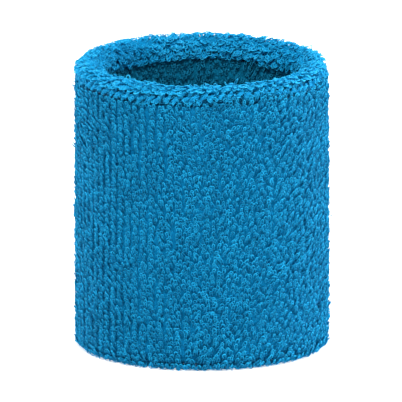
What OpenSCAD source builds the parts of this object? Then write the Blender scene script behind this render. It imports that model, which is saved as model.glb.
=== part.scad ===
// Terry sweat wristband.
// A circular-knit terry tube is pushed back through itself, so it lies double:
// an outer layer, a fold at the bottom and a lining layer inside.
// The lining's end rolls over the top and is overlocked to the outer layer's
// end in a groove just below the roll.
// Millimetres. +Z is the axis of the band, and z = 0 is the surface that the
// fold stands on.

/* [Band] */
// Height from the bottom fold to the crest of the rolled rim
band_h = 80.3; // [60:0.1:110]
// Outer radius over the pile, with the band opened to a wrist's size
outer_r = 35.5; // [32:0.1:45]
// Radius of the corners of the bottom fold, outside and inside
fold_corner_r = 2.7; // [1.5:0.1:3]

/* [Fabric] */
// Thickness of the cotton pile on each layer
pile_t = 2.6; // [2:0.1:3]
// Thickness of the nylon ground knit
ground_t = 0.9; // [0.6:0.1:1]
// Space between the two layers of ground knit
layer_gap = 1.35; // [1.2:0.05:2]
// Number of wales (columns of loops) round the band
wales = 84; // [60:2:110]

/* [Rim] */
// Height of the rolled rim above the centre of its section
rim_rise = 4.6; // [4.2:0.1:5.2]
// Depth of the outer seam's centre below the crest
seam_drop = 3.4; // [3:0.1:4.2]
// Depth of the step inside the opening below the crest
step_drop = 5.7; // [5.4:0.1:7]
// Height of the groove that the seam lies in
groove_h = 1.6; // [1.4:0.1:2]
// Depth of that groove
groove_d = 1.3; // [1:0.1:1.6]
// Length of the joined raw ends that lie between the layers
allowance_l = 6.4; // [4:0.1:9]

/* [Yarns] */
// Diameter of the covered elastic yarn
elastic_d = 0.44; // [0.3:0.02:0.5]
// Spacing of the elastic yarn's turns up the band, two courses
elastic_pitch = 2.96; // [2:0.04:5]
// Diameter of the overlocking thread
thread_d = 0.5; // [0.3:0.05:0.7]
// Lean of each overlock stitch from the vertical
stitch_lean = 52; // [20:1:58]

/* [Hidden] */

$fn = 96;
pile_c = [0.03, 0.50, 0.78];
lining_c = [0.02, 0.42, 0.70];
ground_c = [0.02, 0.30, 0.55];
elastic_c = [0.82, 0.84, 0.86];
thread_c = [0.01, 0.34, 0.62];

wall_t = 2 * (pile_t + ground_t) + layer_gap;
bore_r = outer_r - wall_t;                 // bore of the lining's pile
mid_r = outer_r - wall_t / 2;              // middle of the wall
go_r = outer_r - pile_t;                   // outer face of the outer ground knit
gi_r = bore_r + pile_t;                    // inner face of the lining's ground knit
turn_r = layer_gap / 2 + ground_t;         // outer radius of the ground's U-turns
fold_z = pile_t + turn_r;                  // centre of the bottom U-turn
roll_z = band_h - pile_t - turn_r;         // centre of the U-turn in the rim
rim_z = band_h - rim_rise;                 // centre of the rim's section
rim_in = wall_t / 2 - 0.1;                 // the rim stands clear of the bore
seam_z = band_h - seam_drop;               // outer seam
step_z = band_h - step_drop;               // step inside the opening

// points of an arc of an ellipse in the section plane
function arc(c, rx, rz, a0, a1, n) =
  [for (i = [0:n]) let (a = a0 + (a1 - a0) * i / n) [c[0] + rx * cos(a), c[1] + rz * sin(a)]];

// angle on the rim's section at height z, on the outer side
function rim_angle(z) = asin((z - rim_z) / rim_rise);

// a straight tube between two radii
module tube(r0, r1, z0, z1) {
  translate([0, 0, z0]) difference() {
    cylinder(r = r1, h = z1 - z0);
    translate([0, 0, -1]) cylinder(r = r0, h = z1 - z0 + 2);
  }
}

// one knitted-in yarn ring at height z
module yarn_ring(r, d, z) {
  translate([0, 0, z]) rotate_extrude() translate([r, 0]) circle(d = d, $fn = 8);
}

// one slanted overlock stitch for each wale, lying in a groove
module stitches(r, z, h, d, lean) {
  l = (h - d) / cos(lean);
  for (i = [0:wales - 1])
    rotate([0, 0, 360 / wales * i])
      translate([r, 0, z])
        rotate([-lean, 0, 0])
          translate([0, 0, -l / 2]) cylinder(d = d, h = l, $fn = 16);
}

module outer_pile() {
  color(pile_c)
    tube(go_r, outer_r, fold_z, seam_z - groove_h / 2);
}

module inner_pile() {
  color(lining_c)
    tube(bore_r, gi_r, fold_z, step_z - groove_h / 2);
}

module bottom_fold_pile() {
  c = fold_corner_r;
  color(pile_c) rotate_extrude() polygon(concat(
    arc([bore_r + c, c], c, c, 180, 270, 8),
    arc([outer_r - c, c], c, c, 270, 360, 8),
    [[outer_r, fold_z]],
    arc([mid_r, fold_z], turn_r, turn_r, 0, -180, 16),
    [[bore_r, fold_z]]
  ));
}

module rim_pile() {
  z0 = seam_z - groove_h / 2;
  z1 = seam_z + groove_h / 2;
  y0 = step_z - groove_h / 2;
  y1 = step_z + groove_h / 2;
  color(pile_c) rotate_extrude() polygon(concat(
    [[go_r, z0], [outer_r - groove_d, z0], [outer_r - groove_d, z1]],
    arc([mid_r, rim_z], wall_t / 2, rim_rise, rim_angle(z1), 90, 12),
    arc([mid_r, rim_z], rim_in, rim_rise, 96, 180 - rim_angle(y1), 12),
    [[bore_r + groove_d, y1], [bore_r + groove_d, y0], [gi_r, y0]],
    arc([mid_r, roll_z], turn_r, turn_r, 180, 0, 16)
  ));
}

module ground_outer_layer() {
  color(ground_c)
    tube(go_r - ground_t, go_r, fold_z, min(roll_z, seam_z - groove_h / 2));
}

module ground_inner_layer() {
  color(ground_c)
    tube(gi_r, gi_r + ground_t, fold_z, step_z - groove_h / 2);
}

module ground_bottom_fold() {
  color(ground_c) rotate_extrude() polygon(concat(
    arc([mid_r, fold_z], turn_r, turn_r, 180, 360, 16),
    arc([mid_r, fold_z], layer_gap / 2, layer_gap / 2, 0, -180, 12)
  ));
}

module ground_rim_roll() {
  z0 = min(roll_z, seam_z - groove_h / 2);
  y0 = step_z - groove_h / 2;
  color(ground_c) rotate_extrude() polygon(concat(
    [[go_r, z0 ]],
    arc([mid_r, roll_z], turn_r, turn_r, 0, 180, 16),
    [[gi_r, y0], [gi_r + ground_t, y0]],
    arc([mid_r, roll_z], layer_gap / 2, layer_gap / 2, 180, 0, 12),
    [[go_r - ground_t, z0]]
  ));
}

module seam_allowance() {
  t = layer_gap / 2 - 0.15;
  z1 = roll_z;
  color(ground_c) rotate_extrude() polygon(concat(
    arc([mid_r, z1 - allowance_l + t], t, t, 180, 360, 10),
    arc([mid_r, z1 - t], t, t, 0, 180, 10)
  ));
}

module elastic_yarn_outer() {
  r = go_r - ground_t - elastic_d / 2 - 0.02;
  color(elastic_c)
    for (z = [fold_z + 1.6 : elastic_pitch : roll_z - allowance_l - 0.6])
      yarn_ring(r, elastic_d, z);
}

module elastic_yarn_inner() {
  r = gi_r + ground_t + elastic_d / 2 + 0.02;
  color(elastic_c)
    for (z = [fold_z + 1.6 : elastic_pitch : roll_z - allowance_l - 0.6])
      yarn_ring(r, elastic_d, z);
}

module seam_needle_thread() {
  color(thread_c)
    stitches(outer_r - groove_d + thread_d / 2 + 0.05, seam_z, groove_h - 0.1, thread_d, stitch_lean);
}

module seam_looper_thread() {
  color(thread_c)
    stitches(bore_r + groove_d - thread_d / 2 - 0.05, step_z, groove_h - 0.1, thread_d, -stitch_lean);
}

outer_pile();
inner_pile();
bottom_fold_pile();
rim_pile();
ground_outer_layer();
ground_inner_layer();
ground_bottom_fold();
ground_rim_roll();
seam_allowance();
elastic_yarn_outer();
elastic_yarn_inner();
seam_needle_thread();
seam_looper_thread();
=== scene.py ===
"""Terry sweat wristband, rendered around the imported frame.

The band is a knitted tube that lies double.  Every visible loop of the cotton pile is real geometry: a loop is two
or three strands of yarn that leave the ground knit, curl up and come back.  The loops stand in wales (columns) and
courses (rows), as the knitting machine makes them.  Metres, +Z up, the same frame as the CAD.
"""

import math

import bpy
import numpy as np
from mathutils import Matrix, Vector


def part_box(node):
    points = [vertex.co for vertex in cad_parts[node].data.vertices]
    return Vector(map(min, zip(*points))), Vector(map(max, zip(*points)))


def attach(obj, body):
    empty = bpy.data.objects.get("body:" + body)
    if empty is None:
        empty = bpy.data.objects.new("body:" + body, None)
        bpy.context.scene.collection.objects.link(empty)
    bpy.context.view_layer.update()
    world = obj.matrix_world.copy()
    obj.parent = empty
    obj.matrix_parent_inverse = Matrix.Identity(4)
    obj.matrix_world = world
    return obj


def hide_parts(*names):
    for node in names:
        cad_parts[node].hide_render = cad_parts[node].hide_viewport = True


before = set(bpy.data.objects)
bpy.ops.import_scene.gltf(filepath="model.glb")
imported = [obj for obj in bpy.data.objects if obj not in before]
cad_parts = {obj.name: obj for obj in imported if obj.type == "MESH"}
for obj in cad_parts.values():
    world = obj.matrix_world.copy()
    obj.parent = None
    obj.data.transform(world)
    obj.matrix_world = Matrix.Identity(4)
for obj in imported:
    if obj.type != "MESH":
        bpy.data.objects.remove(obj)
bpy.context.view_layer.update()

rng = np.random.default_rng(358)
MM = 0.001

# ---------------------------------------------------------------- sizes, in mm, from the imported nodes
lo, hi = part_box("outer_pile")
R_OUT = hi[0] / MM  # 35.5, over the pile
H_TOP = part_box("rim_pile")[1][2] / MM  # 80.3, crest of the rim
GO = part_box("ground_outer_layer")[1][0] / MM  # 32.9, outer face of the ground knit
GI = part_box("ground_inner_layer")[1][0] / MM - 0.9  # 29.75, face of the lining's ground knit
MID = (GO + GI) / 2  # middle of the wall
TURN = (GO - GI) / 2  # radius of the ground's U-turns
PILE = R_OUT - GO  # height of the pile
FOLD_Z = PILE + TURN
ROLL_Z = H_TOP - PILE - TURN
WALES = 84
COURSE = 1.27

# ---------------------------------------------------------------- little helpers


def smooth_noise(n_terms, seed, f_phi, f_z):
    """A smooth periodic random field over the band: angle round it, and height or place along the section in mm."""
    g = np.random.default_rng(seed)
    ks = g.integers(1, f_phi + 1, n_terms)
    fz = g.uniform(-f_z, f_z, n_terms)
    ph = g.uniform(0, 2 * math.pi, n_terms)
    amp = g.uniform(0.5, 1.0, n_terms)
    amp /= math.sqrt((amp**2).sum() / 2)

    def field(phi, s):
        out = np.zeros_like(phi)
        for k, f, p, a in zip(ks, fz, ph, amp):
            out += a * np.cos(k * phi + f * s + p)
        return out

    return field


def unit(v):
    return v / np.maximum(np.linalg.norm(v, axis=-1, keepdims=True), 1e-12)


def cyl(phi):
    """Outward, upward and sideways directions at an angle round the band; 0 faces the camera."""
    s, c, z = np.sin(phi), np.cos(phi), np.zeros_like(phi)
    return np.stack([s, -c, z], -1), np.stack([z, z, z + 1], -1), np.stack([c, s, z], -1)


def place(rho, z, nr, nz, phi):
    """Base points and directions (normal, along the section, round the band) from the section's numbers."""
    er, ez, et = cyl(phi)
    P = er * rho[:, None] + ez * z[:, None]
    n = er * nr[:, None] + ez * nz[:, None]
    u = -er * nz[:, None] + ez * nr[:, None]
    return P, n, u, et


def catmull(points, k):
    """Points on a Catmull-Rom spline through (N, M, 3) control points, k of them."""
    n, m, _ = points.shape
    ext = np.concatenate(
        [2 * points[:, :1] - points[:, 1:2], points, 2 * points[:, -1:] - points[:, -2:-1]], 1
    )
    t = np.linspace(0, m - 1, k)
    i = np.minimum(t.astype(int), m - 2)
    f = (t - i)[None, :, None]
    p0, p1, p2, p3 = ext[:, i], ext[:, i + 1], ext[:, i + 2], ext[:, i + 3]
    return 0.5 * (
        2 * p1 + (p2 - p0) * f + (2 * p0 - 5 * p1 + 4 * p2 - p3) * f**2 + (3 * p1 - p0 - 3 * p2 + p3) * f**3
    )


def tubes(name, groups):
    """One mesh of many yarns.  A group is (lines, radius, binormal, tint, shade, sides): lines (N, K, 3) and radius
    (N, K) in mm, binormal (N, 3) never along a line, tint (N, 2) two random numbers for each strand, and shade (N, K)
    the height in the pile, 0 to 1, which the yarn material turns into painted shade low down and a painted highlight
    high up.  Each yarn is a closed tube."""
    total = sum(len(x[0]) for x in groups)
    grid = math.ceil(math.sqrt(total))
    cos_, loops_, sizes_, yarn_, cell_, tint_ = [], [], [], [], [], []
    verts = done = 0
    for lines, radius, binormal, tint, shade, sides in groups:
        n, k, _ = lines.shape
        tan = np.empty_like(lines)
        tan[:, 1:-1] = lines[:, 2:] - lines[:, :-2]
        tan[:, 0] = lines[:, 1] - lines[:, 0]
        tan[:, -1] = lines[:, -1] - lines[:, -2]
        tan = unit(tan)
        a = unit(np.cross(tan, binormal[:, None, :] + 1e-9))
        b = np.cross(tan, a)
        ang = np.arange(sides) * 2 * math.pi / sides
        ring = a[:, :, None, :] * np.cos(ang)[None, None, :, None] + b[:, :, None, :] * np.sin(ang)[None, None, :, None]
        co = lines[:, :, None, :] + ring * radius[:, :, None, None]
        cos_.append((co * MM).reshape(-1, 3))
        base = verts + (np.arange(n) * k * sides)[:, None, None]
        row = (np.arange(k - 1) * sides)[None, :, None]
        j = np.arange(sides)[None, None, :]
        j2 = (j + 1) % sides
        quads = np.stack([base + row + j, base + row + j2, base + row + sides + j2, base + row + sides + j], -1)
        quads = quads.reshape(n, (k - 1) * sides * 4)
        cap0 = base[:, 0] + np.arange(sides)[::-1][None, :]
        cap1 = base[:, 0] + (k - 1) * sides + np.arange(sides)[None, :]
        loops_.append(np.concatenate([quads, cap0, cap1], 1).reshape(-1))
        sizes_.append(np.tile(np.array([4] * ((k - 1) * sides) + [sides, sides]), n))
        # the yarn's own map: along it in mm, and once round it; and a grid with one cell for each strand
        step = np.linalg.norm(np.diff(lines, axis=1), axis=2)
        along = np.concatenate([np.zeros((n, 1)), np.cumsum(step, 1)], 1)
        one = np.ones((n, k - 1, sides))
        v0, v1 = np.arange(sides) / sides, (np.arange(sides) + 1) / sides
        u0, u1 = along[:, :-1, None] * one, along[:, 1:, None] * one
        w0, w1 = v0 * one, v1 * one
        yarn = np.stack([np.stack([u0, w0], -1), np.stack([u0, w1], -1), np.stack([u1, w1], -1), np.stack([u1, w0], -1)], 3)
        at = done + np.arange(n)
        cx, cy = (at % grid)[:, None, None], (at // grid)[:, None, None]
        ku = np.arange(k) / (k - 1)
        g0 = (cx + 0.06 + 0.88 * ku[None, :-1, None]) / grid * one
        g1 = (cx + 0.06 + 0.88 * ku[None, 1:, None]) / grid * one
        h0, h1 = (cy + 0.06 + 0.88 * v0) / grid * one, (cy + 0.06 + 0.88 * v1) / grid * one
        cell = np.stack([np.stack([g0, h0], -1), np.stack([g0, h1], -1), np.stack([g1, h1], -1), np.stack([g1, h0], -1)], 3)
        capu = np.zeros((n, 2 * sides, 2))
        capu[:, sides:, 0] = along[:, -1:]
        capc = np.zeros((n, 2 * sides, 2))
        capc[:, :, 0] = (cx[:, :, 0] + 0.03) / grid
        capc[:, :, 1] = (cy[:, :, 0] + 0.03) / grid
        yarn_.append(np.concatenate([yarn.reshape(n, -1, 2), capu], 1).reshape(-1))
        cell_.append(np.concatenate([cell.reshape(n, -1, 2), capc], 1).reshape(-1))
        # the colour attribute carries the random tint, and in its green channel the height used for painted shade and
        # painted highlight
        colour = np.ones((n, k, sides, 4), np.float32)
        colour[..., 0] = tint[:, None, None, 0]
        colour[..., 1] = shade[:, :, None]
        colour[..., 2] = tint[:, None, None, 1]
        tint_.append(colour.reshape(-1))
        verts += n * k * sides
        done += n
    co, loops = np.concatenate(cos_).astype(np.float32), np.concatenate(loops_).astype(np.int32)
    sizes = np.concatenate(sizes_)
    starts = np.concatenate([[0], np.cumsum(sizes)[:-1]]).astype(np.int32)
    me = bpy.data.meshes.new(name)
    me.vertices.add(len(co))
    me.vertices.foreach_set("co", co.ravel())
    me.loops.add(len(loops))
    me.loops.foreach_set("vertex_index", loops)
    me.polygons.add(len(sizes))
    me.polygons.foreach_set("loop_start", starts)
    me.polygons.foreach_set("use_smooth", np.ones(len(sizes), bool))
    for label, uv in (("yarn", yarn_), ("OFBake", cell_)):
        layer = me.uv_layers.new(name=label)
        layer.data.foreach_set("uv", np.concatenate(uv).astype(np.float32))
    me.uv_layers.active = me.uv_layers["yarn"]
    layer = me.color_attributes.new("tint", "FLOAT_COLOR", "POINT")
    layer.data.foreach_set("color", np.concatenate(tint_))
    me.update(calc_edges=True)
    ob = bpy.data.objects.new(name, me)
    bpy.context.scene.collection.objects.link(ob)
    return ob


# ---------------------------------------------------------------- the pile: many loops at once
# an omega-shaped loop: across, and up as a share of its length
OMEGA = np.array(
    [[-0.40, 0.0], [-0.42, 0.32], [-0.82, 0.64], [-1.00, 0.86], [-0.68, 1.00], [0.0, 1.05]]
)
OMEGA = np.concatenate([OMEGA, OMEGA[-2::-1] * [-1, 1]])


# the strands of one loop, one behind the other: height, width and curl of each, points along it and sides round it
NEST = ((1.0, 1.0, 1.0, 12, 4), (0.80, 0.84, 0.84, 11, 4))
PAIR = ((1.0, 1.0, 1.0, 12, 5), (0.84, 0.80, 0.90, 10, 4))
SLIM = ((1.0, 1.0, 1.0, 9, 4), (0.82, 0.85, 0.85, 8, 4))


def pile(P, n, u, t, H, W, twist, bend, lean, nest, r_yarn, spread, rough, g, floor=None):
    """Terry loops as lines of yarn.  For each loop: H its height along itself, W its half width, bend how far it curls
    over (radians), lean the direction it curls to, from u towards t, and twist how far its plane is turned from square
    to that."""
    N = len(P)
    groups = []
    ct, st = np.cos(twist - lean)[:, None], np.sin(twist - lean)[:, None]
    A = t * ct + u * st  # across the loop
    L = u * np.cos(lean)[:, None] + t * np.sin(lean)[:, None]  # curls over towards this
    own = g.uniform(0, 1, N)
    for tall, wide, curl, k, sides in nest:
        h = H * tall * (1 + g.normal(0, 0.035, N))
        w = W * wide * (1 + g.normal(0, 0.10, N))
        off = spread * g.normal(0, 0.5, N)
        ctrl_x = OMEGA[None, :, 0] * w[:, None]
        q = np.repeat(OMEGA[None, :, 1], N, 0)
        b = np.maximum(bend * curl * (1 + g.normal(0, 0.05, N)), 0.05)
        up = h[:, None] * np.sin(q * b[:, None]) / b[:, None]
        over = h[:, None] * (1 - np.cos(q * b[:, None])) / b[:, None]
        side = np.cross(A, n)
        pts = (
            P[:, None]
            + A[:, None] * ctrl_x[..., None]
            + n[:, None] * up[..., None]
            + L[:, None] * over[..., None]
            + side[:, None] * (off[:, None] * np.minimum(1, 0.25 + 1.1 * q))[..., None]
        )
        jit = g.normal(0, 1, pts.shape) * rough
        jit[:, 0] = jit[:, -1] = 0
        pts = pts + jit
        line = catmull(pts, k)
        if floor is not None:
            # what rests on the table flattens against it
            z = line[..., 2]
            line[..., 2] = np.where(z < floor, floor + 0.1 * (1 - np.exp(-np.maximum(z - floor + 0.6, 0) * 1.4)), z)
        rr = r_yarn * (1 + g.normal(0, 0.07, (N, 1))) * (1 + 0.10 * np.sin(np.linspace(0, 9, k)[None] + g.uniform(0, 6, (N, 1))))
        tint = np.stack([0.5 * own + 0.5 * g.uniform(0, 1, N), g.uniform(0, 1, N)], -1)
        # the height along the loop: painted shade at its feet, painted highlight on its head
        painted_light_height = np.clip(catmull(np.repeat(q[..., None], 3, -1), k)[..., 0] * tall, 0, 1)
        groups.append((line, rr, unit(side + 0.35 * n * g.normal(0, 1, (N, 1))), tint, painted_light_height, sides))
    return groups


def tidy(phi):
    """1 where the wales stand in clear columns, on the left of the front, to 0 where the pile is brushed up."""
    x = np.sin(phi)
    front = np.clip(np.cos(phi) * 2 + 0.6, 0, 1)
    return np.clip(0.55 - 0.75 * (x + 0.15), 0.12, 1) * front + 0.45 * (1 - front)


wander = smooth_noise(14, 11, 9, 0.10)
swell = smooth_noise(12, 12, 6, 0.07)
combed = smooth_noise(16, 13, 12, 0.12)
patch = smooth_noise(16, 14, 14, 0.16)


# the height of the overlocked groove outside, at angles in degrees round the band: it wanders, as it was sewn
SEAM_AT = np.array([-180, -120, -76, -58, -42, -26, -12, 4, 24, 36, 49, 58, 70, 84, 120, 180.0])
SEAM_Z = np.array([77.2, 76.9, 76.5, 77.2, 76.7, 76.8, 77.3, 78.5, 78.8, 78.4, 77.4, 77.5, 78.4, 78.6, 77.6, 77.2])
ROLL_R = TURN + PILE  # radius of the rolled rim's section over its pile


def seam_z(phi):
    d = np.degrees(phi)
    return sum(np.interp(d + o, SEAM_AT, SEAM_Z, period=360) for o in (-5, 0, 5)) / 3


def seam_a(phi):
    """The groove's angle on the rolled rim's section."""
    return np.arcsin(np.clip((seam_z(phi) - ROLL_Z) / ROLL_R, -0.9, 0.9))


pieces_made = []

# the stitches draw the pile into bundles, one for each wale, slanted across the groove; between two of them it is open
BUNDLE = 0.20
SLANT = 0.96
GAP = np.clip(rng.normal(0.35, 0.13, WALES), 0.05, 0.56)


def in_gap(phi, w, over, lean, reach):
    """Whether a loop's head would close one of the gaps between the bundles.  w is the foot's place in mm along the
    outer surface, and over and lean how far and which way the head lies from it."""
    phi = phi + over * np.sin(lean) / R_OUT
    d = w + over * np.cos(lean) - seam_a(phi) * ROLL_R
    along = (phi - d * SLANT / R_OUT) * WALES / (2 * math.pi) - BUNDLE - 0.5
    k = np.round(along)
    off = np.abs(along - k) * 2 * math.pi * R_OUT / WALES
    return (d > -1.25) & (d < 1.45) & (off < GAP[k.astype(int) % WALES] + reach)


def columns(c0, c1, g, loose):
    """Two loops stand side by side in every wale.  Returns course numbers, angles, how tidy the wales are there, which
    of the two a loop is, and how deep the furrow beside it is."""
    c, w, j = np.meshgrid(np.arange(c0, c1), np.arange(WALES), np.arange(2), indexing="ij")
    c, w, j = c.ravel(), w.ravel(), j.ravel()
    mid = 2 * math.pi * (w + 0.5) / WALES
    calm = tidy(mid)
    step = 2 * math.pi / WALES
    phi = mid + (j - 0.5) * 0.5 * step + g.normal(0, 1, len(c)) * step * (0.025 + loose * (1 - calm))
    # furrows open between wales, deeper in places: the loops beside one draw back from it
    side = (w + j) % WALES
    s = np.sin(1.3 * c * FURROW_F[side] + FURROW_P[side]) + 0.6 * np.sin(0.31 * c + FURROW_Q[side])
    furrow = (0.40 + 0.60 * np.clip(s, 0, 1)) * np.clip(calm * 1.5 - 0.15, 0, 1)
    phi = phi + np.where(j == 0, 1, -1) * furrow * step * 0.18
    return c, phi, calm, j, furrow


FURROW_F = rng.uniform(0.06, 0.22, WALES)
FURROW_P = rng.uniform(0, 2 * math.pi, WALES)
FURROW_Q = rng.uniform(0, 2 * math.pi, WALES)


def on_wall(w, phi):
    """Base and normal in the section for a place w mm along the outer surface; 0 is where the rim starts to roll."""
    a = np.clip(w, 0, None) / ROLL_R
    rho = np.where(w < 0, GO, MID + TURN * np.cos(a))
    z = np.where(w < 0, ROLL_Z + w, ROLL_Z + TURN * np.sin(a))
    return rho, z, np.cos(a), np.sin(a)


def outer_wall():
    g = np.random.default_rng(101)
    z0 = 0.35
    rows = 70
    pitch = (78.4 - z0) / rows
    # the lowest courses belong to the bottom fold
    edges = np.concatenate([[0], np.linspace(3, rows, 15).round().astype(int)])
    for a, b in zip(edges[:-1], edges[1:]):
        c, phi, calm, j, furrow = columns(a, b, g, 0.06)
        N = len(c)
        w = z0 + (c + 0.5 + 0.22 * (j - 0.5)) * pitch + g.normal(0, 0.09, N) - ROLL_Z
        phi = phi + wander(phi, w) * 0.005
        # the pile stops below the groove, where its heads would reach it
        seam_w = seam_a(phi) * ROLL_R
        keep = (w < seam_w - 1.50) & ~in_gap(phi, w, 1.9, np.zeros(N), 0.42)
        w, phi, calm, furrow, seam_w, N = w[keep], phi[keep], calm[keep], furrow[keep], seam_w[keep], int(keep.sum())
        rho, z, nr, nz = on_wall(w, phi)
        P, n, u, t = place(rho, z, nr, nz, phi)
        c_low = z < 1.0
        H = (3.02 + 0.09 * swell(phi, z) + 0.07 * patch(phi, z)) * (1 + g.normal(0, 0.05, N)) * (1 - 0.06 * furrow)
        W = (0.43 + 0.02 * (1 - calm)) * (1 + g.normal(0, 0.11, N)) * (1 - 0.10 * furrow)
        near = np.clip((w - (seam_w - 4.2)) / 2.4, 0, 1)
        twist = g.normal(0, 1, N) * (0.15 + 0.12 * (1 - calm)) * (1 - 0.6 * near)
        bend = 1.47 + 0.07 * combed(phi, z) + g.normal(0, 0.12, N)
        lean = (g.normal(0, 1, N) * (0.16 + 0.25 * (1 - calm)) + 0.07 * patch(phi, z)) * (1 - 0.6 * near)
        # just under the seam the stitches pull the loops in
        bend = np.where(c_low, 1.05, bend)
        H = np.where(c_low, 2.5 * (1 + g.normal(0, 0.05, N)), H)
        H = H * (1 - 0.18 * near)
        W = W * (1 + 0.22 * near)
        parts = pile(P, n, u, t, H, W, twist, bend, lean, NEST, 0.122, 0.17, 0.045, g, floor=0.2 if a == 0 else None)
        ob = tubes("bottom_fold_pile_outside" if a == 0 else f"outer_pile_courses_{a + 1:02d}_{b:02d}", parts)
        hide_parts("bottom_fold_pile" if a == 0 else "outer_pile")
        pieces_made.append((ob, "pile"))


def inner_wall():
    g = np.random.default_rng(202)
    z0 = FOLD_Z + 0.2
    top = 75.4
    rows = int(round((top - z0) / COURSE))
    pitch = (top - z0) / rows
    across = WALES * 3 // 2
    groups = 6
    edges = np.linspace(0, rows, groups + 1).round().astype(int)
    for a, b in zip(edges[:-1], edges[1:]):
        c, w = np.meshgrid(np.arange(a, b), np.arange(across), indexing="ij")
        c, w = c.ravel(), w.ravel()
        N = len(c)
        z = z0 + (c + 0.5) * pitch + g.normal(0, 0.14, N)
        phi = 2 * math.pi * (w + 0.5 * (c % 2)) / across + g.normal(0, 0.010, N)
        # at the back the pile stops a little lower, under the step
        keep = (z < 75.0) | (np.cos(phi) > -0.75)
        z, phi, N = z[keep], phi[keep], int(keep.sum())
        P, n, u, t = place(np.full(N, GI), z, -np.ones(N), np.zeros(N), phi)
        H = (2.85 + 0.10 * patch(phi, z)) * (1 + g.normal(0, 0.06, N))
        W = 0.43 * (1 + g.normal(0, 0.14, N))
        twist = g.normal(0, 0.20, N)
        bend = 1.40 + g.normal(0, 0.15, N)
        # u runs down on the lining, and its loops lie downwards, as they do on the rest of the tube
        lean = g.normal(0, 0.4, N)
        parts = pile(P, n, u, t, H, W, twist, bend, lean, SLIM, 0.145, 0.16, 0.04, g, floor=0.2 if a == 0 else None)
        ob = tubes(f"inner_pile_courses_{a + 1:02d}_{b:02d}", parts)
        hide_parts("inner_pile")
        pieces_made.append((ob, "lining"))


def rim():
    g = np.random.default_rng(303)
    # rows round the rolled section, from just above the groove outside, over the crest, to the step inside
    rows = 12
    across = WALES * 2
    for part, (r0, r1) in enumerate(((0, 4), (4, 8), (8, rows))):
        c, w = np.meshgrid(np.arange(r0, r1), np.arange(across), indexing="ij")
        c, w = c.ravel(), w.ravel()
        N = len(c)
        phi = 2 * math.pi * (w + 0.5 * (c % 2)) / across + g.normal(0, 0.010, N)
        # outside, the heads lie over towards the groove, so their feet stand higher up than it
        a0 = seam_a(phi) + 0.62
        # inside, the step is filled at the sides and open at the back
        a1 = np.radians(190 + 9 * np.clip((np.abs(np.sin(phi)) - 0.35) / 0.3, 0, 1))
        a = a0 + (a1 - a0) * (c + 0.5 + g.normal(0, 0.14, N)) / rows
        drop = np.clip(a - math.pi, 0, None) * ROLL_R
        a = np.minimum(a, math.pi)
        rho = MID + TURN * np.cos(a)
        z = ROLL_Z + TURN * np.sin(a) - drop
        P, n, u, t = place(rho, z, np.cos(a), np.sin(a), phi)
        low = c == 0
        # the curls of the lowest row hang in bundles, one for each wale, slanted like the stitches under them
        near = np.round(phi / (2 * math.pi) * WALES - BUNDLE) + BUNDLE
        phi_low = near * 2 * math.pi / WALES + np.where(w % 2 == 0, -1, 1) * 0.012 + g.normal(0, 0.004, N)
        P2, n2, u2, t2 = place(rho, z, np.cos(a), np.sin(a), phi_low)
        P, n, u, t = (np.where(low[:, None], x2, x) for x, x2 in ((P, P2), (n, n2), (u, u2), (t, t2)))
        P = P + n * 0.50
        out = a < math.radians(118)
        H = (2.95 + 0.20 * low) * (1 + 0.02 * combed(phi, a * 4)) * (1 + g.normal(0, 0.06, N))
        W = 0.58 * (1 + g.normal(0, 0.15, N))
        twist = g.normal(0, 0.20, N)
        bend = 1.62 + g.normal(0, 0.22, N)
        lean = np.where(out, math.pi + 0.5, 0.3) + g.normal(0, 0.95, N) + 0.30 * combed(phi, a * 4)
        lean = np.where(low, math.pi + 0.70 + g.normal(0, 0.22, N), lean)
        keep = ~in_gap(np.where(low, phi_low, phi), a * ROLL_R, 1.9, lean, np.where(low, 0.0, 0.40)) | (a > 2.2)
        P, n, u, t, H, W, twist, bend, lean, a, phi = (x[keep] for x in (P, n, u, t, H, W, twist, bend, lean, a, phi))
        parts = pile(P, n, u, t, H, W, twist, bend, lean, PAIR, 0.132, 0.16, 0.05, g)
        # painted shade: inside the opening on the left, and a little on the right, the yarn's tone and height are
        # darkened
        side = np.maximum(np.clip((-np.sin(phi) - 0.35) / 0.35, 0, 1), 0.5 * np.clip((np.sin(phi) - 0.5) / 0.3, 0, 1))
        painted_opening_shade = 1 - 0.6 * side * np.clip((a - 1.72) / 0.55, 0, 1)
        parts = [(line, rr, b, tint * [[1, 0]] * painted_opening_shade[:, None] + tint * [[0, 1]], painted_light_height * np.sqrt(painted_opening_shade)[:, None], k)
                 for line, rr, b, tint, painted_light_height, k in parts]
        ob = tubes(("rim_pile_outside", "rim_pile_crest", "rim_pile_inside")[part], parts)
        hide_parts("rim_pile")
        pieces_made.append((ob, "rim"))


def seam_curls():
    """Small curls of pile that lie along the bundles across the groove, held down by the needle stitches."""
    g = np.random.default_rng(707)
    i = np.repeat(np.arange(WALES), 8)
    N = len(i)
    d = g.uniform(-1.2, 1.2, N)
    off = np.clip(g.normal(0, 0.30, N), -0.36, 0.36)
    phi = 2 * math.pi * (i + BUNDLE) / WALES + (d * SLANT + off) / R_OUT
    a = seam_a(phi) + (d - 0.35 * off) / ROLL_R
    drop = np.clip(-a, 0, None) * ROLL_R
    a = np.maximum(a, 0)
    r = ROLL_R - 1.90 - 0.25 * np.abs(d) + g.normal(0, 0.10, N)
    P, n, u, t = place(MID + r * np.cos(a), ROLL_Z + r * np.sin(a) - drop, np.cos(a), np.sin(a), phi)
    H = 1.65 * (1 + g.normal(0, 0.10, N))
    W = 0.32 * (1 + g.normal(0, 0.14, N))
    lean = 0.78 + np.where(g.uniform(0, 1, N) < 0.5, 0, math.pi) + g.normal(0, 0.30, N)
    bend = 1.50 + g.normal(0, 0.2, N)
    ob = tubes("rim_pile_seam_curls", pile(P, n, u, t, H, W, g.normal(0, 0.3, N), bend, lean, PAIR, 0.112, 0.14, 0.05, g))
    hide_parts("rim_pile")
    pieces_made.append((ob, "curls"))


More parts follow.
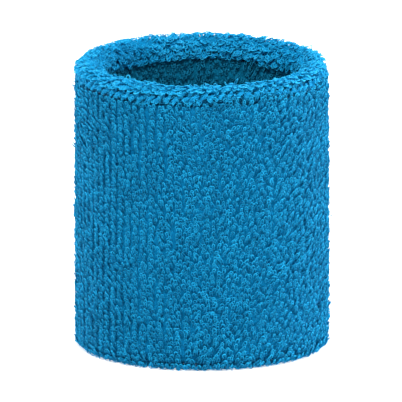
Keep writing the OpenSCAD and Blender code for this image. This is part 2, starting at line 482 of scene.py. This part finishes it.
def bottom_fold():
    g = np.random.default_rng(404)
    rows = 11
    for part, (r0, r1) in enumerate(((0, 6), (6, rows))):
        c, phi, calm, j, furrow = columns(r0, r1, g, 0.10)
        N = len(c)
        a = np.radians(-38 - 142 * (c + 0.5 + 0.2 * (j - 0.5) + g.normal(0, 0.10, N)) / rows)
        rho = MID + TURN * np.cos(a)
        z = FOLD_Z + TURN * np.sin(a)
        P, n, u, t = place(rho, z, np.cos(a), np.sin(a), phi)
        # the fold stands on its flat underside, so its corners are squarer than the turn of the knit
        H = 2.65 * (1 + 0.12 * np.sin(2 * a) ** 2) * (1 + g.normal(0, 0.04, N))
        W = 0.58 * (1 + g.normal(0, 0.12, N))
        twist = g.normal(0, 0.30, N)
        bend = 0.80 + g.normal(0, 0.15, N)
        lean = np.where(a < -1.6, 0.0, math.pi) + g.normal(0, 0.6, N)
        parts = pile(P, n, u, t, H, W, twist, bend, lean, PAIR, 0.135, 0.16, 0.04, g, floor=0.2)
        ob = tubes(("bottom_fold_pile_underside", "bottom_fold_pile_inside")[part], parts)
        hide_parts("bottom_fold_pile")
        pieces_made.append((ob, "pile"))


def foot_mat(name, node, kind, path, seed, across, thick=0.80, packed=0.0):
    """The feet of the loops, packed together: a lumpy skin over the ground knit, closed at the back, along a section
    path of (rho, z, normal r, normal z) rows.  packed is how much higher it stands where the pile is brushed up and
    near the fold."""
    g = np.random.default_rng(seed)
    m = len(path)
    phi = np.arange(across) * 2 * math.pi / across
    field = smooth_noise(40, seed, 40, 2.2)
    rows = np.array(path)
    top = []
    for lift in (1, 0):
        pp, ff = np.meshgrid(np.arange(m), phi, indexing="ij")
        r, z, nr, nz = (rows[:, i][:, None] for i in range(4))
        bump = 0.0 if not lift else 0.14 * field(ff, pp * 0.9) + g.normal(0, 0.07, ff.shape)
        full = packed * np.maximum((1 - tidy(ff)) ** 2, 0.75 * np.clip(1.2 - z / 9, 0, 1))
        d = (thick + full + bump) if lift else 0.05
        rho, zz = r + nr * d, z + nz * d
        er, ez, _ = cyl(ff)
        top.append(er * rho[..., None] + ez * zz[..., None])
    co = np.concatenate([x.reshape(-1, 3) for x in top]) * MM
    i, j = np.meshgrid(np.arange(m - 1), np.arange(across), indexing="ij")
    j2 = (j + 1) % across
    a, b, c, d = i * across + j, i * across + j2, (i + 1) * across + j2, (i + 1) * across + j
    outer = np.stack([a, b, c, d], -1).reshape(-1, 4)
    inner = np.stack([d, c, b, a], -1).reshape(-1, 4) + m * across
    jj = np.arange(across)
    jn = (jj + 1) % across
    end0 = np.stack([jj + m * across, jn + m * across, jn, jj], -1)
    last = (m - 1) * across
    end1 = np.stack([last + jj, last + jn, last + jn + m * across, last + jj + m * across], -1)
    faces = np.concatenate([outer, inner, end0, end1])
    me = bpy.data.meshes.new(name)
    me.from_pydata(co.tolist(), [], faces.tolist())
    me.polygons.foreach_set("use_smooth", np.ones(len(faces), bool))
    me.update()
    ob = bpy.data.objects.new(name, me)
    bpy.context.scene.collection.objects.link(ob)
    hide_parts(node)
    pieces_made.append((ob, kind))


def mats():
    up = np.arange(FOLD_Z, 75.4, 0.62)
    foot_mat("outer_pile_feet", "outer_pile", "wall_feet", [(GO, z, 1, 0) for z in up], 21, 336, 0.96, 0.56)
    down = np.arange(73.6, FOLD_Z, -0.8)
    foot_mat("inner_pile_feet", "inner_pile", "lining_feet", [(GI, z, -1, 0) for z in down], 22, 252, 1.55)
    arc = [math.radians(x) for x in np.linspace(62, 180, 15)]
    foot_mat("rim_pile_feet", "rim_pile", "feet",
             [(MID + TURN * math.cos(x), ROLL_Z + TURN * math.sin(x), math.cos(x), math.sin(x)) for x in arc], 23, 336, 1.55)
    arc = [math.radians(x) for x in np.linspace(-180, 0, 17)]
    foot_mat("bottom_fold_feet", "bottom_fold_pile", "feet",
             [(MID + TURN * math.cos(x), FOLD_Z + TURN * math.sin(x), math.cos(x), math.sin(x)) for x in arc], 24, 336)


def section_point(s):
    """A place along the band's outer section, s mm up from the fold and over the rim: base, height and normal."""
    w = s - ROLL_Z
    a = np.clip(w / ROLL_R, 0, None)
    rho = np.where(w < 0, GO, MID + TURN * np.cos(a))
    z = np.where(w < 0, s, ROLL_Z + TURN * np.sin(a))
    return rho, z, np.cos(a), np.sin(a)


def fibres():
    """Short loose fibres that stand out of the pile, and a few loops that are pulled out of it."""
    g = np.random.default_rng(606)
    for label, node, count, s0, s1, kind in (
        ("outer_pile_fibres", "outer_pile", 3600, 6.0, 76.0, "pile"),
        ("rim_pile_fibres", "rim_pile", 1900, 76.5, 87.0, "rim"),
    ):
        N = count
        phi = g.uniform(-math.pi, math.pi, N)
        s = g.uniform(s0, s1, N)
        rho, z, nr, nz = section_point(s)
        P, n, u, t = place(rho, z, nr, nz, phi)
        way = g.uniform(0, 2 * math.pi, N)
        d = u * np.cos(way)[:, None] + t * np.sin(way)[:, None]
        L = g.uniform(0.7, 1.6, N)
        up = g.uniform(0.25, 0.8, N)
        k = 6
        f = np.linspace(0, 1, k)[None, :, None]
        base = P + n * 1.75
        line = (
            base[:, None]
            + n[:, None] * (up[:, None, None] * np.sin(f * 2.0))
            + d[:, None] * (L[:, None, None] * (f + 0.25 * np.sin(f * 4 + way[:, None, None])))
        )
        # the fibres get the full height, so the yarn material gives them its painted highlight tone
        groups = [(line, np.full((N, k), 0.022), unit(np.cross(d, n)), np.stack([g.uniform(0.5, 1, N), g.uniform(0, 1, N)], -1),
                   np.full((N, k), 1.0), 3)]
        # the pulled loops are thinner and stand up clear of the rest
        M = 46 if kind == "rim" else 44
        at = g.uniform(-math.pi, math.pi, M)
        ss = g.uniform(s0 + 1, s1 - 0.5, M)
        if kind == "rim":
            at[:5] = np.radians([-112, -116, -168, 111, 88])
            ss[:5] = (82.0, 82.5, 82.7, 82.0, 80.0)
        rho, z, nr, nz = section_point(ss)
        P, n, u, t = place(rho, z, nr, nz, at)
        H = g.uniform(3.3, 4.3 if kind == "rim" else 3.8, M)
        W = g.uniform(0.50, 0.75, M)
        twist = g.uniform(-1.2, 1.2, M)
        if kind == "rim":
            H[:5] = (5.4, 5.0, 4.9, 5.0, 4.7)
            W[:5] = (0.85, 0.7, 0.8, 0.8, 0.7)
            twist[:5] = (1.2, 0.7, 0.3, -1.2, 1.4)
        bend = g.uniform(0.2, 0.9, M)
        lean = g.uniform(0, 2 * math.pi, M)
        groups += pile(P, n, u, t, H, W, twist, bend, lean, ((1.0, 1.0, 1.0, 20, 5),), 0.075, 0.1, 0.03, g)
        ob = tubes(label, groups)
        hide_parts(node)
        pieces_made.append((ob, kind))


outer_wall()
inner_wall()
rim()
seam_curls()
bottom_fold()
mats()
fibres()


# ---------------------------------------------------------------- the overlocked seam
def seam():
    g = np.random.default_rng(505)
    # needle thread: slanted stitches that cross the groove outside, a bundle of strands for each wale
    N = WALES
    phi = 2 * math.pi * (np.arange(N) + BUNDLE) / N + g.normal(0, 0.004, N)
    k = 12
    lines, rad, bino, tint, shade = [], [], [], [], []
    strands = 4
    tight = g.uniform(0.75, 1.15, (N, 1))
    skew = g.normal(0, 0.22, (N, 1))
    sink = np.clip(g.normal(0.62, 0.22, (N, 1)), 0.25, 1.1)
    for s in range(strands):
        f = np.linspace(-1, 1, k)[None, :]
        off = (s - (strands - 1) / 2) * 0.27 * tight + g.normal(0, 0.06, (N, 1)) + 0.10 * np.sin(f * 5 + g.uniform(0, 6, (N, 1)))
        dphi = ((1.35 * SLANT + skew) * f + off) / R_OUT
        ph = phi[:, None] + dphi
        aa = seam_a(ph) + (1.35 * f + g.normal(0, 0.12, (N, 1)) - off * 0.35) / ROLL_R
        r = ROLL_R - 0.85 - sink + 0.70 * (1 - f**2) - 0.9 * np.abs(f) ** 3 - 0.40 * off**2 + g.normal(0, 0.08, (N, 1))
        r = r + 0.09 * np.sin(f * 7 + g.uniform(0, 6, (N, 1)))
        low = ROLL_Z + np.minimum(aa, 0) * ROLL_R
        rho = MID + r * np.cos(np.maximum(aa, 0))
        z = np.where(aa < 0, low, ROLL_Z + r * np.sin(np.maximum(aa, 0)))
        er, ez, et = cyl(ph)
        line = er * rho[..., None] + ez * z[..., None]
        lines.append(line)
        rad.append(np.full((N, k), 0.125) * (1 + g.normal(0, 0.08, (N, 1))))
        bino.append(cyl(phi)[0])
        tint.append(np.stack([g.uniform(0.1, 0.9, N), g.uniform(0, 1, N)], -1))
        shade.append(np.repeat(0.90 - 0.5 * np.abs(f), N, 0))
    ob = tubes("seam_needle_stitches", [(*(np.concatenate(x) for x in (lines, rad, bino, tint, shade)), 6)])
    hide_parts("seam_needle_thread")
    pieces_made.append((ob, "thread"))
    # looper thread: the chain at the step inside the opening
    lines, rad, bino, tint, shade = [], [], [], [], []
    phi = 2 * math.pi * (np.arange(N) + 0.5) / N
    sink = np.clip(g.normal(0.0, 0.25, (N, 1)), -0.3, 0.6)
    skew = g.normal(0, 0.25, (N, 1))
    for s in range(4):
        f = np.linspace(-1, 1, k)[None, :]
        off = (s - 1.5) * 0.27 + g.normal(0, 0.06, (N, 1))
        dphi = ((-1.0 + skew) * f + off) / 28
        ph = phi[:, None] + dphi
        z = 74.7 + 0.25 * np.sin(3 * phi[:, None]) + 1.1 * f + g.normal(0, 0.12, (N, 1)) + off * 0.3
        rho = 27.15 + 0.95 + sink - 0.55 * (1 - f**2) + 0.9 * np.abs(f) ** 3 + 0.3 * off**2 + g.normal(0, 0.06, (N, 1))
        er, ez, et = cyl(ph)
        lines.append(er * rho[..., None] + ez * z[..., None])
        rad.append(np.full((N, k), 0.125) * (1 + g.normal(0, 0.08, (N, 1))))
        bino.append(cyl(phi)[0])
        tint.append(np.stack([g.uniform(0.1, 0.8, N), g.uniform(0, 1, N)], -1))
        shade.append(np.repeat(0.85 - 0.5 * np.abs(f), N, 0))
    ob = tubes("seam_looper_stitches", [(*(np.concatenate(x) for x in (lines, rad, bino, tint, shade)), 6)])
    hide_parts("seam_looper_thread")
    pieces_made.append((ob, "thread"))


seam()

# ---------------------------------------------------------------- materials


def new_material(name):
    m = bpy.data.materials.new(name)
    m.use_nodes = True
    nt = m.node_tree
    return m, nt, nt.nodes["Principled BSDF"]


def ramp(nt, stops, fac):
    r = nt.nodes.new("ShaderNodeValToRGB")
    els = r.color_ramp.elements
    while len(els) < len(stops):
        els.new(0.5)
    for e, (pos, col) in zip(els, stops):
        e.position, e.color = pos, (*col, 1)
    nt.links.new(fac, r.inputs["Fac"])
    return r.outputs["Color"]


def maths(nt, op, a, b=None, c=None):
    m = nt.nodes.new("ShaderNodeMath")
    m.operation = op
    for i, x in enumerate((a, b, c)):
        if x is None:
            continue
        if isinstance(x, (int, float)):
            m.inputs[i].default_value = x
        else:
            nt.links.new(x, m.inputs[i])
    return m.outputs[0]


def yarn_material(name, dark, mid, light, sheen=0.32, twist=1.6, own=0.38, deep=0.50, base=0.04):
    """Cotton yarn: each strand has its own tone, two plies twist round each other, and short fibres mottle it; painted
    shade darkens it deeper in the pile, painted highlights lighten the loops' heads and the ply's crest.
    """
    m, nt, bs = new_material(name)
    tint = nt.nodes.new("ShaderNodeAttribute")
    tint.attribute_name = "tint"
    sep = nt.nodes.new("ShaderNodeSeparateColor")
    nt.links.new(tint.outputs["Color"], sep.inputs[0])
    uv = nt.nodes.new("ShaderNodeUVMap")
    uv.uv_map = "yarn"
    suv = nt.nodes.new("ShaderNodeSeparateXYZ")
    nt.links.new(uv.outputs[0], suv.inputs[0])
    # the plies: a stripe that winds round the yarn
    turn = maths(nt, "MULTIPLY_ADD", suv.outputs[0], twist, maths(nt, "MULTIPLY", suv.outputs[1], 2.0))
    ply = maths(nt, "SINE", maths(nt, "MULTIPLY", turn, 2 * math.pi))
    coord = nt.nodes.new("ShaderNodeTexCoord")
    fibre = nt.nodes.new("ShaderNodeTexNoise")
    fibre.inputs["Scale"].default_value = 5200.0
    fibre.inputs["Detail"].default_value = 3.0
    fibre.inputs["Roughness"].default_value = 0.65
    nt.links.new(coord.outputs["Object"], fibre.inputs["Vector"])
    dye = nt.nodes.new("ShaderNodeTexNoise")
    dye.inputs["Scale"].default_value = 90.0
    dye.inputs["Detail"].default_value = 3.0
    nt.links.new(coord.outputs["Object"], dye.inputs["Vector"])
    # tone: each strand's own, with painted shade deeper in the pile, a painted highlight on the loops' heads, and a
    # painted highlight on the ply's crest
    tone = maths(nt, "MULTIPLY", sep.outputs[0], own)
    tone = maths(nt, "MULTIPLY_ADD", maths(nt, "POWER", sep.outputs[1], 2.2), deep, tone)
    tone = maths(nt, "MULTIPLY_ADD", ply, 0.06, tone)
    tone = maths(nt, "MULTIPLY_ADD", maths(nt, "SUBTRACT", fibre.outputs["Fac"], 0.5), 0.45, tone)
    tone = maths(nt, "MULTIPLY_ADD", maths(nt, "SUBTRACT", dye.outputs["Fac"], 0.5), 0.35, tone)
    tone = maths(nt, "ADD", tone, base)
    col = ramp(nt, [(0.0, dark), (0.5, mid), (1.0, light)], tone)
    nt.links.new(col, bs.inputs["Base Color"])
    rough = maths(nt, "MULTIPLY_ADD", fibre.outputs["Fac"], 0.25, 0.68)
    nt.links.new(rough, bs.inputs["Roughness"])
    bump = nt.nodes.new("ShaderNodeBump")
    bump.inputs["Strength"].default_value = 0.55
    bump.inputs["Distance"].default_value = 0.00006
    height = maths(nt, "MULTIPLY_ADD", fibre.outputs["Fac"], 0.8, ply)
    nt.links.new(height, bump.inputs["Height"])
    nt.links.new(bump.outputs[0], bs.inputs["Normal"])
    bs.inputs["Specular IOR Level"].default_value = 0.08
    bs.inputs["Sheen Weight"].default_value = sheen
    bs.inputs["Sheen Roughness"].default_value = 0.45
    bs.inputs["Sheen Tint"].default_value = (0.07, 0.66, 1.0, 1)
    return m


pile_mat = yarn_material("terry_pile", (0.0004, 0.096, 0.225), (0.0008, 0.175, 0.372), (0.009, 0.372, 0.685), own=0.54, deep=0.54, base=-0.05)
# the rim takes a lighter copy of the pile's colours: painted light on the top of the rolled rim
rim_lit_mat = yarn_material("terry_rim", (0.0006, 0.160, 0.370), (0.002, 0.292, 0.590), (0.035, 0.515, 0.875), sheen=0.42)
curl_mat = yarn_material("terry_seam_curls", (0.0005, 0.130, 0.310), (0.0015, 0.250, 0.520), (0.022, 0.460, 0.810), sheen=0.4)
# the lining takes a darker copy of the same yarn's colours: painted shade inside the band
lining_shaded_mat = yarn_material("terry_lining", (0.0005, 0.068, 0.142), (0.0010, 0.120, 0.230), (0.005, 0.182, 0.325), sheen=0.06, own=0.24, deep=0.24, base=0.32)
thread_mat = yarn_material("overlock_thread", (0.0005, 0.130, 0.320), (0.0015, 0.250, 0.540), (0.016, 0.430, 0.800), sheen=0.3, twist=2.6)


def feet_material(name, dark, light):
    """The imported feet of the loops: short bits of yarn in every direction."""
    m, nt, bs = new_material(name)
    coord = nt.nodes.new("ShaderNodeTexCoord")
    cells = nt.nodes.new("ShaderNodeTexVoronoi")
    cells.inputs["Scale"].default_value = 2100.0
    nt.links.new(coord.outputs["Object"], cells.inputs["Vector"])
    fine = nt.nodes.new("ShaderNodeTexNoise")
    fine.inputs["Scale"].default_value = 3600.0
    fine.inputs["Detail"].default_value = 4.0
    nt.links.new(coord.outputs["Object"], fine.inputs["Vector"])
    tone = maths(nt, "MULTIPLY_ADD", cells.outputs["Distance"], -0.5, maths(nt, "MULTIPLY_ADD", fine.outputs["Fac"], 0.7, 0.30))
    nt.links.new(ramp(nt, [(0.1, dark), (0.8, light)], tone), bs.inputs["Base Color"])
    nt.links.new(maths(nt, "MULTIPLY_ADD", fine.outputs["Fac"], 0.2, 0.75), bs.inputs["Roughness"])
    bump = nt.nodes.new("ShaderNodeBump")
    bump.inputs["Strength"].default_value = 0.8
    bump.inputs["Distance"].default_value = 0.0003
    nt.links.new(tone, bump.inputs["Height"])
    nt.links.new(bump.outputs[0], bs.inputs["Normal"])
    bs.inputs["Specular IOR Level"].default_value = 0.05
    return m


feet_mat = feet_material("terry_feet", (0.0004, 0.100, 0.230), (0.001, 0.215, 0.450))
wall_feet_mat = feet_material("terry_wall_feet", (0.0004, 0.080, 0.190), (0.0009, 0.178, 0.375))
# a darker copy for the lining's feet: painted shade inside the band
lining_feet_shaded_mat = feet_material("terry_lining_feet", (0.0004, 0.082, 0.158), (0.001, 0.142, 0.262))


def knit_material(name, dark, light, wales, courses):
    """Plain knit: V-shaped stitches in wales and courses, laid out round the band from object coordinates."""
    m, nt, bs = new_material(name)
    coord = nt.nodes.new("ShaderNodeTexCoord")
    sep = nt.nodes.new("ShaderNodeSeparateXYZ")
    nt.links.new(coord.outputs["Object"], sep.inputs[0])
    ang = maths(nt, "ARCTAN2", sep.outputs[1], sep.outputs[0])
    col = maths(nt, "MULTIPLY", ang, wales / (2 * math.pi))
    fr = maths(nt, "FRACT", maths(nt, "ADD", col, 500.0))
    vee = maths(nt, "ABSOLUTE", maths(nt, "SUBTRACT", fr, 0.5))
    row = maths(nt, "MULTIPLY_ADD", sep.outputs[2], courses, maths(nt, "MULTIPLY", vee, 1.4))
    wave = maths(nt, "SINE", maths(nt, "MULTIPLY", row, 2 * math.pi))
    edge = maths(nt, "SINE", maths(nt, "MULTIPLY", fr, math.pi))
    hgt = maths(nt, "MULTIPLY", maths(nt, "MULTIPLY_ADD", wave, 0.5, 0.5), edge)
    fine = nt.nodes.new("ShaderNodeTexNoise")
    fine.inputs["Scale"].default_value = 4000.0
    fine.inputs["Detail"].default_value = 3.0
    nt.links.new(coord.outputs["Object"], fine.inputs["Vector"])
    tone = maths(nt, "MULTIPLY_ADD", fine.outputs["Fac"], 0.4, maths(nt, "MULTIPLY", hgt, 0.7))
    nt.links.new(ramp(nt, [(0.1, dark), (0.9, light)], tone), bs.inputs["Base Color"])
    nt.links.new(maths(nt, "MULTIPLY_ADD", fine.outputs["Fac"], 0.2, 0.55), bs.inputs["Roughness"])
    bump = nt.nodes.new("ShaderNodeBump")
    bump.inputs["Strength"].default_value = 0.9
    bump.inputs["Distance"].default_value = 0.0003
    nt.links.new(hgt, bump.inputs["Height"])
    nt.links.new(bump.outputs[0], bs.inputs["Normal"])
    bs.inputs["Specular IOR Level"].default_value = 0.1
    return m


ground_mat = knit_material("ground_knit", (0.0003, 0.090, 0.200), (0.001, 0.200, 0.420), 168, 1350.0)


def elastic_material():
    """Covered elastic: a fine yarn wound round a pale rubber core."""
    m, nt, bs = new_material("covered_elastic")
    coord = nt.nodes.new("ShaderNodeTexCoord")
    sep = nt.nodes.new("ShaderNodeSeparateXYZ")
    nt.links.new(coord.outputs["Object"], sep.inputs[0])
    ang = maths(nt, "ARCTAN2", sep.outputs[1], sep.outputs[0])
    wind = maths(nt, "SINE", maths(nt, "MULTIPLY_ADD", sep.outputs[2], 9000.0, maths(nt, "MULTIPLY", ang, 620.0)))
    tone = maths(nt, "MULTIPLY_ADD", wind, 0.5, 0.5)
    nt.links.new(ramp(nt, [(0.0, (0.42, 0.47, 0.54)), (1.0, (0.80, 0.83, 0.86))], tone), bs.inputs["Base Color"])
    bump = nt.nodes.new("ShaderNodeBump")
    bump.inputs["Strength"].default_value = 0.6
    bump.inputs["Distance"].default_value = 0.00005
    nt.links.new(tone, bump.inputs["Height"])
    nt.links.new(bump.outputs[0], bs.inputs["Normal"])
    bs.inputs["Roughness"].default_value = 0.6
    return m


elastic_mat = elastic_material()

by_kind = {"feet": feet_mat, "wall_feet": wall_feet_mat, "lining_feet": lining_feet_shaded_mat, "pile": pile_mat, "rim": rim_lit_mat, "lining": lining_shaded_mat, "thread": thread_mat, "curls": curl_mat}
for ob, kind in pieces_made:
    ob.data.materials.append(by_kind[kind])
    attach(ob, "root")

for name in ("ground_outer_layer", "ground_inner_layer", "ground_bottom_fold", "ground_rim_roll", "seam_allowance"):
    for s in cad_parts[name].material_slots:
        s.material = ground_mat
for name in ("elastic_yarn_outer", "elastic_yarn_inner"):
    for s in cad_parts[name].material_slots:
        s.material = elastic_mat

# ---------------------------------------------------------------- floor, light and camera
me = bpy.data.meshes.new("floor")
S = 3.0
me.from_pydata([(-S, -S, 0), (S, -S, 0), (S, S, 0), (-S, S, 0)], [], [(0, 1, 2, 3)])
floor = bpy.data.objects.new("floor", me)
bpy.context.scene.collection.objects.link(floor)
fm, nt, bs = new_material("floor_white")
bs.inputs["Base Color"].default_value = (0.93, 0.93, 0.93, 1)
bs.inputs["Roughness"].default_value = 0.9
bs.inputs["Specular IOR Level"].default_value = 0.1
bs.inputs["Emission Color"].default_value = (1, 1, 1, 1)
bs.inputs["Emission Strength"].default_value = 0.52
me.materials.append(fm)

world = bpy.data.worlds.new("studio")
bpy.context.scene.world = world
world.use_nodes = True
bg = world.node_tree.nodes["Background"]
bg.inputs["Color"].default_value = (1, 1, 1, 1)
bg.inputs["Strength"].default_value = 0.52


def area(name, loc, size, power, target=(0, 0, 0.04)):
    d = bpy.data.lights.new(name, "AREA")
    d.shape = "RECTANGLE"
    d.size, d.size_y = size
    d.energy = power
    o = bpy.data.objects.new(name, d)
    bpy.context.scene.collection.objects.link(o)
    o.location = loc
    v = np.array(target) - np.array(loc)
    import mathutils

    o.rotation_euler = mathutils.Vector(v).to_track_quat("-Z", "Y").to_euler()
    return o


area("key_top_front", (-0.05, -0.42, 0.86), (0.27, 0.23), 11.2)
area("side_right", (0.72, 0.29, 0.20), (0.7, 0.34), 11.5)
area("side_left", (-0.60, 0.62, 0.12), (0.6, 0.20), 7.6)

cam_d = bpy.data.cameras.new("camera")
cam_d.type = "ORTHO"
cam_d.ortho_scale = 0.1108
cam = bpy.data.objects.new("camera", cam_d)
bpy.context.scene.collection.objects.link(cam)
elev = math.radians(13.39)
dist = 1.2
centre = (-0.0002, 0.0, 0.0403)
cam.location = (centre[0], centre[1] - dist * math.cos(elev), centre[2] + dist * math.sin(elev))
cam.rotation_euler = (math.pi / 2 - elev, 0, 0)
cam_d.clip_start, cam_d.clip_end = 0.01, 10
bpy.context.scene.camera = cam

bpy.context.scene.view_settings.view_transform = "Standard"
bpy.context.scene.view_settings.look = "None"
